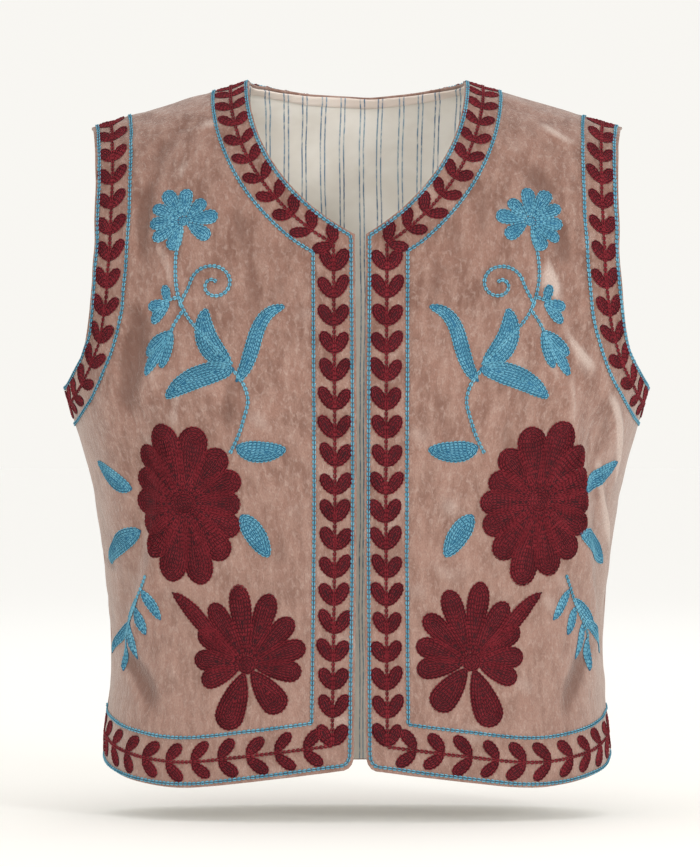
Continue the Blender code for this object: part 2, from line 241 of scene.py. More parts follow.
class Face:
    """The front or the back of the garment, and the form that its cloth takes on a general figure.

    In the flat cloth a place is a distance across from the middle and a height up the cloth, which rolls over
    at the shoulder.
    """

    def __init__(self, way, depth, hem, armhole, folds, fullness, creases):
        self.way, self.depth, self.hem, self.armhole = way, depth, hem, armhole
        self.folds, self.fullness = folds, fullness
        self.angles = np.linspace(-FACE_REACH, FACE_REACH, 385)
        level = self.figure(self.angles, np.full(self.angles.shape, CUT_LEVEL))
        along = np.concatenate([[0], np.cumsum(np.linalg.norm(np.diff(level, axis=0), axis=1))])
        self.across = along - along[len(along) // 2]
        self.creases = [
            (self.flat_at(crease.top_x, crease.top_z), self.flat_at(crease.foot_x, crease.foot_z), crease)
            for crease in creases
        ]
        random = np.random.default_rng(WAVE_SEED + way)
        turns = random.uniform(0, 2 * math.pi, (2, WAVE_COUNT))
        lengths = random.uniform(*WAVE_LENGTHS, WAVE_COUNT)
        self.waves = 2 * math.pi / lengths * np.array([np.cos(turns[0]), np.sin(turns[0])]), turns[1]

    def figure(self, angle, height):
        """Points of the general figure."""
        across = across_of(angle)
        painted_hollow_shade = (np.cos(angle) - SQUARENESS * np.cos(3 * angle)) / (1 - SQUARENESS)
        top = crest(across)
        turn = np.maximum(height - (top - ROLL_RISE), 0) / ROLL_LENGTH * math.pi / 2
        z = np.where(turn > 0, top - ROLL_RISE * (1 - np.sin(turn)), height)
        x = section(z, "half_width") * across
        y = self.way * section(z, self.depth) * painted_hollow_shade * np.cos(turn)
        return np.stack([x, y, z], axis=-1)

    def flat_of(self, angle, height):
        """Places in the flat cloth of angles and heights."""
        return np.stack([np.interp(angle, self.angles, self.across), np.asarray(height, float)], axis=-1)

    def flat_at(self, x, z):
        """The place in the flat cloth that shows at x and z when seen from the front, or through it."""
        return self.flat_of(*seen_at(x, z))

    def normals(self, points_of, angle, height):
        """Outward normals of a surface."""
        along = points_of(angle + SLOPE_STEP, height) - points_of(angle - SLOPE_STEP, height)
        up = points_of(angle, height + SLOPE_STEP) - points_of(angle, height - SLOPE_STEP)
        return unit(-self.way * np.cross(along, up))

    def fold_relief(self, angle, height):
        """How far the folds and the fullness stand off the figure."""
        relief = np.zeros(angle.shape)
        for fold in self.folds:
            share = (height - fold.foot_height) / (fold.top_height - fold.foot_height)
            held = np.clip(share, 0, 1)
            line = fold.foot_degrees + (fold.top_degrees - fold.foot_degrees) * held
            line = line + fold.bow_degrees * 4 * held * (1 - held)
            beyond = (fold.side * angle - np.radians(line)) * FLAT_RADIUS / fold.half_width
            fade = np.clip(FOLD_FADE * np.minimum(share, 1 - share), 0, 1)
            ridge = fold.rise * np.exp(-(beyond**2))
            hollow = fold.fall * np.exp(-(((beyond - HOLLOW_PLACE) / HOLLOW_SPREAD) ** 2))
            relief += fade * fade * (3 - 2 * fade) * (ridge - hollow)
        full = self.fullness
        for side in (-1, 1):
            aside = (angle - side * math.radians(full.degrees)) * FLAT_RADIUS
            relief += full.rise * np.exp(-((np.hypot(aside, height - full.height) / full.radius) ** 2))
        return relief * np.cos(np.clip(angle, -math.pi / 2, math.pi / 2)) ** 0.5

    def crease_relief(self, flat):
        """How far the creases and the low waves stand off the folds."""
        relief = np.zeros(flat.shape[:-1])
        for top, foot, crease in self.creases:
            run = foot - top
            length = np.linalg.norm(run)
            share = (flat - top) @ run / length**2
            aside = (flat - top) @ np.array([-run[1], run[0]]) / length
            held = np.clip(share, 0, 1)
            aside = aside - crease.bow * 4 * held * (1 - held)
            past = (share - held) * length
            distance = np.hypot(aside, past) / crease.half_width
            ends = 0.25 + 0.75 * np.sin(math.pi * held) ** 0.8
            relief -= crease.depth * ends * np.exp(-(distance**2))
        waves, starts = self.waves
        return relief + WAVE_HEIGHT * np.sin(flat @ waves + starts).sum(axis=-1)

    def cloth(self, angle, height):
        """Points of the velvet's outer side."""
        relief = self.fold_relief(angle, height) + self.crease_relief(self.flat_of(angle, height))
        return self.figure(angle, height) + self.normals(self.figure, angle, height) * relief[..., None]

    def lay(self, flat):
        """Points on the velvet's outer side for places in the flat cloth, with the outward normals."""
        angle = np.interp(flat[..., 0], self.across, self.angles)
        height = flat[..., 1]
        return self.cloth(angle, height), self.normals(self.cloth, angle, height)

    def drawing(self, flat):
        """Matrix that turns a small move on the worn cloth, across and up, into one in the flat cloth."""
        flat = np.asarray(flat, float)
        angle = np.interp(flat[0] + np.array([LOCAL_STEP, -LOCAL_STEP, 0, 0]), self.across, self.angles)
        height = flat[1] + np.array([0, 0, LOCAL_STEP, -LOCAL_STEP])
        points = self.figure(angle, height)
        along, up = (points[0] - points[1]) / (2 * LOCAL_STEP), (points[2] - points[3]) / (2 * LOCAL_STEP)
        up_way = unit(up)
        side_way = unit(along - up_way * (along @ up_way))
        return np.linalg.inv([[along @ side_way, up @ side_way], [along @ up_way, up @ up_way]])


FRONT_FORM = (FRONT_HEM, ArmholeCurve(47, -0.13, 50), FRONT_FOLDS, Fullness(27, -0.205, 0.065, 0.006))
BACK_FORM = (BACK_HEM, ArmholeCurve(49, -0.11, 55), BACK_FOLDS, Fullness(26, -0.150, 0.080, 0.004))
FRONT = Face(-1, "front_depth", *FRONT_FORM, FRONT_CREASES)
BACK = Face(1, "back_depth", *BACK_FORM, BACK_CREASES)


def bezier(points):
    """A curve of the share along it, through the first and last of its control points."""
    degree = len(points) - 1

    def route(share):
        share = np.asarray(share)[:, None]
        terms = [math.comb(degree, k) * share**k * (1 - share) ** (degree - k) for k in range(degree + 1)]
        return sum(term * np.asarray(point, float) for term, point in zip(terms, points))

    return route


def spaced(face, line, step):
    """Flat places along a line, evenly spaced on the worn cloth about a step apart."""
    angle = np.interp(line[:, 0], face.across, face.angles)
    steps = np.linalg.norm(np.diff(face.figure(angle, line[:, 1]), axis=0), axis=1)
    along = np.concatenate([[0], np.cumsum(steps)])
    stops = np.linspace(0, along[-1], max(1, round(along[-1] / step)) + 1)
    return np.stack([np.interp(stops, along, line[:, k]) for k in (0, 1)], axis=1)


def route_line(face, route):
    """A route of angles and heights as evenly spaced flat places."""
    angle, height = route(np.linspace(0, 1, ROUTE_SAMPLES)).T
    return spaced(face, face.flat_of(angle, height), OUTLINE_STEP)


def seam_height(angle):
    """Cloth height of the shoulder seam, half a seam gap short of the crest."""
    return float(crest(across_of(angle))) - ROLL_RISE + ROLL_LENGTH - SEAM_GAP / 2


def shoulder_angle(x):
    """Angle at which the shoulder seam passes x."""
    return float(seen_at(x, crest(x / UPPER_HALF_WIDTH))[0])


def hem_height(face, angle):
    """Height of the hem at an angle from the middle of a face."""
    degrees = np.degrees(np.abs(angle))
    return float(smooth_table(degrees, [p.degrees for p in face.hem], [p.height for p in face.hem]))


def level_line(face, start, stop, height_at):
    """The line between two angles at the height that goes with each angle."""
    return route_line(
        face,
        lambda share: np.array([(angle, height_at(angle)) for angle in start + (stop - start) * share]),
    )


def hem_line(face, start, stop):
    """The hem between two angles."""
    return level_line(face, start, stop, lambda angle: hem_height(face, angle))


def side_lines(face, side):
    """The side seam, from the hem up, and the armhole edge, from the underarm to the shoulder tip."""
    seam = side * (math.pi / 2 - SEAM_GAP / 2 / section(UNDERARM_Z, face.depth))
    tip = shoulder_angle(side * SHOULDER_TIP_X)
    curve = face.armhole
    armhole = bezier(
        [
            (seam, UNDERARM_Z),
            (side * math.radians(curve.foot_degrees), UNDERARM_Z),
            (side * math.radians(curve.tip_degrees), curve.tip_height),
            (tip, seam_height(tip)),
        ]
    )
    side_seam = bezier([(seam, hem_height(face, seam)), (seam, UNDERARM_Z)])
    return route_line(face, side_seam), route_line(face, armhole)


def shoulder_line(face, from_x, to_x):
    """The shoulder seam between two distances from the middle."""
    return level_line(face, shoulder_angle(from_x), shoulder_angle(to_x), seam_height)


def front_lines(edge):
    """The edges of one front, each with its own name, down to the rounded corner of its hem."""
    corner = hem_height(FRONT, 0) + HEM_CORNER_RADIUS
    heights = [corner, (corner + NECK_CORNER_Z) / 2, NECK_CORNER_Z]
    offsets = [edge.at_hem, edge.at_middle, edge.at_neck]
    z = np.linspace(corner, NECK_CORNER_Z, ROUTE_SAMPLES)
    edge_line = spaced(FRONT, FRONT.flat_at(smooth_table(z, heights, offsets), z), OUTLINE_STEP)
    neck = bezier(
        [
            (edge.at_neck, NECK_CORNER_Z),
            (edge.side * NECK_LOW_HANDLE[0], NECK_LOW_HANDLE[1]),
            (edge.side * NECK_HIGH_HANDLE[0], NECK_HIGH_HANDLE[1]),
            (edge.side * NECK_POINT_X, float(crest(NECK_POINT_X / UPPER_HALF_WIDTH))),
        ]
    )
    neck_line = spaced(FRONT, FRONT.flat_at(*neck(np.linspace(0, 1, ROUTE_SAMPLES)).T), OUTLINE_STEP)
    shoulder = shoulder_line(FRONT, edge.side * NECK_POINT_X, edge.side * SHOULDER_TIP_X)
    neck_line[-1] = shoulder[0]
    side_seam, armhole = side_lines(FRONT, edge.side)
    turn = seen_at(edge.at_hem + edge.side * HEM_CORNER_RADIUS, corner)[0]
    bottom = seen_at(edge.at_hem, corner)[0]
    low = hem_height(FRONT, turn)
    rounding = bezier([(turn, low), (bottom, low), (bottom, corner)])
    seam_angle = np.interp(side_seam[0, 0], FRONT.across, FRONT.angles)
    return {
        "front edge": edge_line,
        "neckline": neck_line,
        "shoulder": shoulder,
        "armhole": armhole,
        "side seam": side_seam,
        "hem": hem_line(FRONT, seam_angle, turn),
        "hem corner": route_line(FRONT, rounding),
    }


def back_lines():
    """The edges of the back, by the side of the wearer that they lie on."""
    end_z = float(crest(NECK_POINT_X / UPPER_HALF_WIDTH))
    across = np.linspace(-1, 1, ROUTE_SAMPLES)
    neck_z = BACK_NECK_Z + (end_z - BACK_NECK_Z) * np.abs(across) ** BACK_NECK_POWER
    neck_line = spaced(BACK, BACK.flat_at(NECK_POINT_X * across, neck_z), OUTLINE_STEP)
    lines = {"neckline": neck_line}
    for side, name in ((-1, "right"), (1, "left")):
        lines[name + " side seam"], lines[name + " armhole"] = side_lines(BACK, side)
        lines[name + " shoulder"] = shoulder_line(BACK, side * NECK_POINT_X, side * SHOULDER_TIP_X)
    neck_line[0], neck_line[-1] = lines["right shoulder"][0], lines["left shoulder"][0]
    seams = [lines[name + " side seam"][0, 0] for name in ("left", "right")]
    lines["hem"] = hem_line(BACK, *np.interp(seams, BACK.across, BACK.angles))
    return lines


def joined(*lines):
    """Several lines of places as one, with the shared ends kept once."""
    return np.concatenate([lines[0]] + [line[1:] for line in lines[1:]])


def front_outline(lines):
    """The cut of one front, all round."""
    up = [lines["front edge"], lines["neckline"], lines["shoulder"], lines["armhole"][::-1]]
    return joined(*up, lines["side seam"][::-1], lines["hem"], lines["hem corner"])[:-1]


def back_outline(lines):
    """The cut of the back, all round."""
    right = [lines["right side seam"], lines["right armhole"], lines["right shoulder"][::-1]]
    left = [lines["left shoulder"], lines["left armhole"][::-1], lines["left side seam"][::-1]]
    return joined(*right, lines["neckline"], *left, lines["hem"])[:-1]


def cut_cloth(outline, spacing, turns):
    """A flat piece of cloth, divided all over. Its edge is rounded in turns, each an inset and a drop."""
    bm = bmesh.new()
    drop = bm.verts.layers.float.new("drop")
    bm.verts.layers.float_vector.new("through")
    cut = bm.faces.new([bm.verts.new((*place, 0)) for place in outline])
    cut.normal_update()
    if cut.normal.z < 0:
        cut.normal_flip()
    for turn in turns:
        for vert in cut.verts:
            vert[drop] = turn.drop
        bmesh.ops.inset_region(bm, faces=[cut], thickness=turn.inset, use_boundary=True, use_even_offset=True)
    for vert in cut.verts:
        vert[drop] = 0
    low, high = outline.min(axis=0), outline.max(axis=0)
    for axis, way in enumerate((Vector((1, 0, 0)), Vector((0, 1, 0)))):
        for place in np.linspace(low[axis], high[axis], round((high[axis] - low[axis]) / spacing) + 1)[1:-1]:
            everything = bm.verts[:] + bm.edges[:] + bm.faces[:]
            bmesh.ops.bisect_plane(bm, geom=everything, plane_co=way * place, plane_no=way)
    bmesh.ops.remove_doubles(bm, verts=bm.verts[:], dist=MERGE_DISTANCE)
    return bm


def worn_cloth(name, face, outline, spacing, turns, depth, thickness, finish):
    """A piece of cloth on the garment's form, with its outer side at a depth under the velvet's."""
    bm = cut_cloth(outline, spacing, turns)
    drop, through = bm.verts.layers.float["drop"], bm.verts.layers.float_vector["through"]
    cut_map = bm.loops.layers.uv.new("Cut")
    relief = bm.verts.layers.float.new("relief")
    for part in bm.faces:
        for loop in part.loops:
            loop[cut_map].uv = loop.vert.co.xy
    flat = np.array([vert.co.xy for vert in bm.verts])
    points, normals = face.lay(flat)
    for vert, point, normal, rise in zip(bm.verts, points, normals, face.crease_relief(flat)):
        vert.co = point - normal * (depth + vert[drop])
        vert[through] = -normal * (thickness - 2 * vert[drop])
        vert[relief] = rise
    made = bmesh.ops.extrude_face_region(bm, geom=bm.faces[:], use_keep_orig=True)
    for item in made["geom"]:
        if isinstance(item, bmesh.types.BMVert):
            item.co += item[through]
    bmesh.ops.recalc_face_normals(bm, faces=bm.faces[:])
    mesh = bpy.data.meshes.new(name)
    bm.to_mesh(mesh)
    bm.free()
    return worn(name, mesh, finish)


def worn(name, mesh, finish):
    """A smooth-shaded object of a mesh, riding on the garment's one body."""
    mesh.materials.append(finish)
    mesh.shade_smooth()
    piece = bpy.data.objects.new(name, mesh)
    bpy.context.scene.collection.objects.link(piece)
    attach(piece, "root")
    return piece


class Shade:
    """A socket among a material's nodes. Arithmetic on it adds Math nodes behind it."""

    def __init__(self, tree, socket=None):
        self.tree, self.socket = tree, socket

    def add(self, kind, settings=None, sockets=None, output=0):
        """Any other node, by its type, its settings and the values or links of its sockets."""
        node = self.tree.nodes.new(kind)
        for name, value in (settings or {}).items():
            setattr(node, name, value)
        for name, value in (sockets or {}).items():
            if isinstance(value, Shade):
                self.tree.links.new(value.socket, node.inputs[name])
            else:
                node.inputs[name].default_value = value
        return Shade(self.tree, node.outputs[output])

    def math(self, operation, *others):
        return self.add("ShaderNodeMath", {"operation": operation}, dict(enumerate((self, *others))))

    def __add__(self, other):
        return self.math("ADD", other)

    def __sub__(self, other):
        return self.math("SUBTRACT", other)

    def __rsub__(self, other):
        return self * -1 + other

    def __mul__(self, other):
        return self.math("MULTIPLY", other)

    def between(self, low, high):
        """This value's place from low to high, as 0 to 1 with soft ends."""
        settings = {"interpolation_type": "SMOOTHSTEP"}
        return self.add("ShaderNodeMapRange", settings, {"Value": self, "From Min": low, "From Max": high})

    def noise(self, scale, detail=2.0, roughness=0.5, distortion=0.0, stretch=(1, 1, 1)):
        """Noise over this socket's places, in features to the metre, drawn out by a stretch."""
        scaled = self.add("ShaderNodeMapping", {"vector_type": "TEXTURE"}, {"Vector": self, "Scale": stretch})
        sockets = {"Vector": scaled, "Scale": scale, "Detail": detail, "Roughness": roughness}
        return self.add("ShaderNodeTexNoise", None, {**sockets, "Distortion": distortion})

    def tint(self, low, high):
        """A colour from low to high by this value. Each is a colour or another socket."""
        sockets = {0: self, 6: low, 7: high}
        return self.add("ShaderNodeMix", {"data_type": "RGBA"}, sockets, output=2)


def rgb(red, green, blue):
    """A colour from its values out of 255, as a screen shows it, for a shader."""
    levels = [value / 255 for value in (red, green, blue)]
    return (*[v / 12.92 if v <= 0.04045 else ((v + 0.055) / 1.055) ** 2.4 for v in levels], 1)


def cloth_material(name, roughness, sheen, sheen_tint):
    """A cloth finish without its colour: its material, shader and node tree."""
    finish = bpy.data.materials.new(name)
    finish.use_nodes = True
    shader = finish.node_tree.nodes["Principled BSDF"]
    shader.inputs["Roughness"].default_value = roughness
    shader.inputs["Specular IOR Level"].default_value = 0.25
    shader.inputs["Sheen Weight"].default_value = sheen
    shader.inputs["Sheen Roughness"].default_value = 0.45
    shader.inputs["Sheen Tint"].default_value = sheen_tint
    return finish, shader, Shade(finish.node_tree)


def link_to(shader, name, value):
    """Feeds one of a shader's sockets."""
    value.tree.links.new(value.socket, shader.inputs[name])


def link_bump(shader, height, strength, distance):
    """Raises a shader's surface by a height from 0 to 1, as far as a distance in metres."""
    sockets = {"Height": height, "Strength": strength, "Distance": distance}
    link_to(shader, "Normal", height.add("ShaderNodeBump", None, sockets))


PAINTED_SHADE_PILE = rgb(98, 68, 58)
PAINTED_RIDGE_HIGHLIGHT = rgb(204, 186, 176)
PAINTED_SIDE_SHEEN = rgb(182, 166, 157)


def velvet_finish():
    """Dusty rose velvet: crushed pile in soft blotches, with painted shade in the creases, a painted
    highlight on their ridges and painted sheen at the sides.
    """
    finish, shader, nodes = cloth_material("velvet", 0.90, 0.50, rgb(232, 226, 222))
    place = nodes.add("ShaderNodeUVMap", {"uv_map": "Cut"})
    relief = nodes.add("ShaderNodeAttribute", {"attribute_name": "relief"}, None, output=2)
    across = place.add("ShaderNodeSeparateXYZ", None, {"Vector": place}, output=0)
    up = place.add("ShaderNodeSeparateXYZ", None, {"Vector": place}, output=1)
    blotch = place.noise(52, 4.0, 0.60, 0.2, (1, 1.6, 1)).between(0.34, 0.66)
    streak = place.noise(150, 3.0, 0.60, 0.2, (1, 3.2, 1)).between(0.36, 0.68)
    wisp = place.noise(360, 3.0, 0.65, 0.5, (1, 1.9, 1)).between(0.46, 0.72)
    fibre = place.noise(1250, 2.0, 0.6, 0.0, (1, 2.0, 1)).between(0.30, 0.70)
    tone = blotch.tint(rgb(120, 86, 74), rgb(146, 110, 97))
    tone = (streak * 0.62).tint(tone, rgb(166, 134, 121))
    tone = (wisp * 0.36).tint(tone, rgb(198, 175, 164))
    # Painted light and shade by height: paler towards the hem, and a little darker up towards the neck and
    # shoulders.
    tone = ((1 - up.between(-0.47, -0.10)) * 0.26).tint(tone, rgb(178, 148, 136))
    tone = (up.between(-0.24, -0.10) * 0.12).tint(tone, PAINTED_SHADE_PILE)
    # Painted sheen: paler and greyer towards the sides, where the pile catches the light at a grazing angle.
    tone = (across.math("ABSOLUTE").between(0.165, 0.245) * 0.42).tint(tone, PAINTED_SIDE_SHEEN)
    # Painted highlight: paler on the ridges of the creases, where the pile catches the light.
    tone = (relief.between(0.0003, 0.0020) * 0.72).tint(tone, PAINTED_RIDGE_HIGHLIGHT)
    # Painted shade: darker in the troughs of the creases.
    tone = ((relief * -1).between(0.0003, 0.0028) * 0.66).tint(tone, PAINTED_SHADE_PILE)
    tone = (0.28 - fibre * 0.28).tint(tone, rgb(92, 64, 54))
    link_to(shader, "Base Color", tone)
    pile = blotch * 0.4 + streak * 0.5 + wisp * 0.4 + fibre * 0.3
    link_bump(shader, pile, 0.6, 0.0012)
    return finish


velvet = velvet_finish()
edges = {"left_front": front_lines(LEFT_EDGE), "right_front": front_lines(RIGHT_EDGE), "back": back_lines()}
outlines = {name: front_outline(edges[name]) for name in ("left_front", "right_front")}
outlines["back"] = back_outline(edges["back"])
faces = {"left_front": FRONT, "right_front": FRONT, "back": BACK}

velvet_turns = [
    Turn(VELVET_TURN * (1 - math.sqrt(0.5)), VELVET_TURN),
    Turn(VELVET_TURN * math.sqrt(0.5), VELVET_TURN * (1 - math.sqrt(0.5))),
]


velvet_layer = (VELVET_SPACING, velvet_turns, 0, VELVET_THICKNESS, velvet)
for name, outline in outlines.items():
    piece = worn_cloth("velvet_" + name, faces[name], outline, *velvet_layer)
    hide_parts(name)

# ---------------------------------------------------------------------------------------------------------
# Lining panels. The same three cuts in cream cotton with woven pairs of blue stripes, sewn in flat against
# the wrong side of the velvet and a little short of its edge.

LINING_THICKNESS = 0.0010
LINING_SPACING = 0.0065
LINING_SETBACK = 0.0011
LAYER_GAP = 0.0004
STRIPE_PITCH = 0.0118
STRIPE_APART = 0.0026
STRIPE_WIDTH = 0.00095


def moved_in(face, line, distances, hand):
    """A line moved into the cloth by a distance at each place. The cloth is on its right for hand 1."""
    moved = []
    ahead = np.gradient(line, axis=0)
    for place, step, distance in zip(line, ahead, np.broadcast_to(distances, len(line))):
        matrix = face.drawing(place)
        worn = unit(np.linalg.solve(matrix, step)) * hand * distance
        moved.append(place + matrix @ (worn[1], -worn[0]))
    return np.array(moved)


def striped_finish(name, ground_high, ground_low):
    """Cream cotton with pairs of thin blue stripes, uneven in place, in strength and along their length."""
    finish, shader, nodes = cloth_material(name, 0.92, 0.15, rgb(240, 236, 228))
    place = nodes.add("ShaderNodeUVMap", {"uv_map": "Cut"})
    drift = place.noise(9, 1.0, 0.5, 0.0, (1, 1, 1)) * 0.004
    wobble = place.noise(160, 2.0, 0.5, 0.0, (1, 4, 1)) * 0.0006
    across = place.add("ShaderNodeSeparateXYZ", None, {"Vector": place}) + drift + wobble
    turns = across * (1 / STRIPE_PITCH)
    number = turns.math("FLOOR")
    share = turns.math("FRACT")
    strays = number.add("ShaderNodeTexWhiteNoise", {"noise_dimensions": "1D"}, {"W": number})
    middle = strays * 0.16 + 0.42
    aside = ((share - middle) * STRIPE_PITCH).math("ABSOLUTE")
    line = 1 - ((aside - STRIPE_APART / 2).math("ABSOLUTE")).between(STRIPE_WIDTH * 0.30, STRIPE_WIDTH * 0.62)
    worn = place.noise(420, 3.0, 0.7, 0.0, (1, 3.0, 1)).between(0.30, 0.60)
    soft = place.noise(45, 1.0, 0.5, 0.0, (1, 2.0, 1)).between(0.25, 0.7)
    grey = place.noise(26, 3.0, 0.6, 0.2, (1, 1, 1)).between(0.3, 0.7)
    weave = place.noise(1900, 1.0, 0.5)
    ground = grey.tint(ground_low, ground_high)
    ground = (weave * 0.16).tint(ground, rgb(176, 166, 152))
    blue = soft.tint(rgb(66, 98, 130), rgb(128, 156, 176))
    link_to(shader, "Base Color", (line * (worn * 0.72 + 0.28)).tint(ground, blue))
    link_bump(shader, weave, 0.25, 0.0004)
    return finish


lining_turns = [Turn(0.0004, 0.00035)]
lining_depth = VELVET_THICKNESS + LAYER_GAP
striped_cotton = striped_finish("striped_cotton", rgb(240, 236, 229), rgb(226, 220, 211))
lining_layer = (LINING_SPACING, lining_turns, lining_depth, LINING_THICKNESS, striped_cotton)
for name, outline in outlines.items():
    lining = moved_in(faces[name], outline, LINING_SETBACK, -1 if name == "right_front" else 1)
    piece = worn_cloth("lining_" + name, faces[name], lining, *lining_layer)
    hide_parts(name + "_lining")

# ---------------------------------------------------------------------------------------------------------
# Neck facing. A narrow band of the same cotton inside the back of the neck, laid over the lining. It is cut
# to the curve of the neck and covers the lining's raw edge there.

FACING_WIDTH = 0.0085
FACING_DROP = 0.0058
FACING_LAP = 0.0010
FACING_THICKNESS = 0.0010
FACING_SPACING = 0.0040


def neck_curve(reach, drop):
    """The back neck edge, or a line below it: wider by a reach at its ends and lower by a drop."""
    end = NECK_POINT_X + reach
    bottom = BACK_NECK_Z - drop
    across = np.linspace(-1, 1, ROUTE_SAMPLES)
    neck_z = bottom + (float(crest(end / UPPER_HALF_WIDTH)) - bottom) * np.abs(across) ** BACK_NECK_POWER
    return spaced(BACK, BACK.flat_at(end * across, neck_z), OUTLINE_STEP)


facing_top = neck_curve(0, -FACING_LAP)
facing_outline = np.concatenate([facing_top, neck_curve(FACING_WIDTH, FACING_DROP)[::-1]])
facing_depth = lining_depth + LINING_THICKNESS + LAYER_GAP
facing_finish = striped_finish("facing_cotton", rgb(236, 224, 215), rgb(224, 208, 198))
facing_layer = (FACING_SPACING, lining_turns, facing_depth, FACING_THICKNESS, facing_finish)
facing = worn_cloth("neck_facing", BACK, facing_outline, *facing_layer)
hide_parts("back_neck_facing")

# ---------------------------------------------------------------------------------------------------------
# Edging. One row of chain stitch in thick sky blue cotton runs just inside every edge, and a second marks off
# the border. Each link is a loop of thread: two strands that leave the last link together and close round
# the next.

STITCH_BASE = 0.00018
STITCH_SPREAD = 0.10
RING_CORNERS = 3
LOBE = {1.0: (-0.10, 0.12), 0.5: (0.28, 0.52), -0.5: (0.76, 0.70), -1.0: (1.10, 0.24)}
RING_HALF = 0.40
RING_MIDDLE = 0.45
RING_RISE = 0.55
LOOP_TOP = 0.55
LOOP_HALF = 0.50

STITCH_SEED = 7
random = np.random.default_rng(STITCH_SEED)
Template = namedtuple("Template", "points triangles inside")


def template_of(bm):
    """A small mesh as arrays: its points, its triangles, and how far inside the loop each point lies."""
    bmesh.ops.triangulate(bm, faces=bm.faces[:])
    bmesh.ops.recalc_face_normals(bm, faces=bm.faces[:])
    bm.verts.index_update()
    points = np.array([vert.co for vert in bm.verts])
    triangles = np.array([[vert.index for vert in part.verts] for part in bm.faces])
    bm.free()
    low = np.clip(1 - points[:, 2] / LOOP_TOP, 0, 1)
    return Template(points, triangles, np.maximum(low, np.clip(1 - np.abs(points[:, 1]) / LOOP_HALF, 0, 1)))


def link_template(spread):
    """One link, in shares of its pitch along x, its half width along y and its height along z."""
    bm = bmesh.new()
    for side in (-1, 1):
        lobe = bmesh.ops.create_uvsphere(bm, u_segments=RING_CORNERS, v_segments=3, radius=1)["verts"]
        for vert in lobe:
            along, aside = LOBE[round(vert.co.z * 2) / 2]
            ring = vert.co.xy.normalized() if vert.co.xy.length > 0.1 else vert.co.xy * 0
            vert.co = (along, side * aside * spread + ring.y * RING_HALF, RING_MIDDLE + ring.x * RING_RISE)
    return template_of(bm)


Stitch = namedtuple("Stitch", "link pitch half_width height")
OPEN_LINK = link_template(1.0)
TIGHT_LINK = link_template(0.60)
EDGE_STITCH = Stitch(TIGHT_LINK, 0.0034, 0.00185, 0.0012)


def chain(face, lines, stitch):
    """The points of every link in rows of chain stitch along lines of flat places."""
    stops = [spaced(face, line, stitch.pitch) for line in lines]
    low, low_normals = face.lay(np.concatenate([line[:-1] for line in stops]))
    high, high_normals = face.lay(np.concatenate([line[1:] for line in stops]))
    normals = unit(low_normals + high_normals)
    ahead = high - low
    aside = unit(np.cross(normals, ahead)) * stitch.half_width
    along, across, off = stitch.link.points.T[:, None, :, None]
    size = random.uniform(1 - STITCH_SPREAD, 1 + STITCH_SPREAD, (2, len(low), 1, 1))
    raised = normals[:, None] * (off * stitch.height * size[1] + STITCH_BASE)
    return low[:, None] + ahead[:, None] * along + aside[:, None] * across * size[0] + raised


def thread_object(name, template, parts, finish):
    """Many copies of a template as one mesh, each with its own tone of thread, and painted shade inside its
    loop.
    """
    places = np.concatenate(parts)
    count = len(places)
    starts = np.arange(count)[:, None, None] * len(template.points)
    mesh = bpy.data.meshes.new(name)
    mesh.from_pydata(places.reshape(-1, 3), [], (template.triangles + starts).reshape(-1, 3))
    tone = mesh.attributes.new("tone", "FLOAT", "POINT")
    tone.data.foreach_set("value", np.repeat(random.uniform(0, 1, count), len(template.points)))
    inside = mesh.attributes.new("inside", "FLOAT", "POINT")
    inside.data.foreach_set("value", np.tile(template.inside, count))
    return worn(name, mesh, finish)


def thread_finish(name, dark, middle, light, painted_hollow_shade):
    """Matt cotton thread, a little fuzzy, with painted shade that makes it much darker where it dives into
    the cloth.
    """
    finish, shader, nodes = cloth_material(name, 0.80, 0.12, light)
    place = nodes.add("ShaderNodeTexCoord", None, None, output=3)
    tone = nodes.add("ShaderNodeAttribute", {"attribute_name": "tone"}, None, output=2)
    inside = nodes.add("ShaderNodeAttribute", {"attribute_name": "inside"}, None, output=2)
    fuzz = place.noise(1500, 2.0, 0.6)
    drift = place.noise(70, 2.0, 0.5)
    shade = (tone * 0.22 + fuzz * 0.5 + drift * 0.5).between(0.30, 0.95)
    colour = shade.tint(shade.tint(dark, middle), shade.tint(middle, light))
    # Painted shade: much darker inside each loop and low down on its strands.
    link_to(shader, "Base Color", (inside.between(0.25, 1.0) * 0.85).tint(colour, painted_hollow_shade))
    link_bump(shader, fuzz, 0.5, 0.0003)
    return finish


def moved_run(face, lines, names, reaches, hand):
    """Edges joined and moved into the cloth, by a reach at the start and one at the end of each."""
    distances = joined(*[np.linspace(*reach, len(lines[name])) for name, reach in zip(names, reaches)])
    return moved_in(face, joined(*[lines[name] for name in names]), distances, hand)


def crossing(first, second):
    """Where two lines of places cross: the last place of each before it, and the crossing itself."""
    start, step = first[:-1, None], np.diff(first, axis=0)[:, None]
    other, other_step = second[None, :-1], np.diff(second, axis=0)[None]
    gap = other - start
    turn = step[..., 0] * other_step[..., 1] - step[..., 1] * other_step[..., 0]
    along = (gap[..., 0] * other_step[..., 1] - gap[..., 1] * other_step[..., 0]) / turn
    beside = (gap[..., 0] * step[..., 1] - gap[..., 1] * step[..., 0]) / turn
    i, j = np.argwhere((along >= 0) & (along <= 1) & (beside >= 0) & (beside <= 1))[0]
    return i, j, first[i] + step[i, 0] * along[i, j]


def drawn_out(line, length):
    """A line with both ends drawn out straight."""
    first, last = line[0] - line[2], line[-1] - line[-3]
    ends = [line[0] + first / np.linalg.norm(first) * length, line[-1] + last / np.linalg.norm(last) * length]
    return np.concatenate([[ends[0]], line, [ends[1]]])


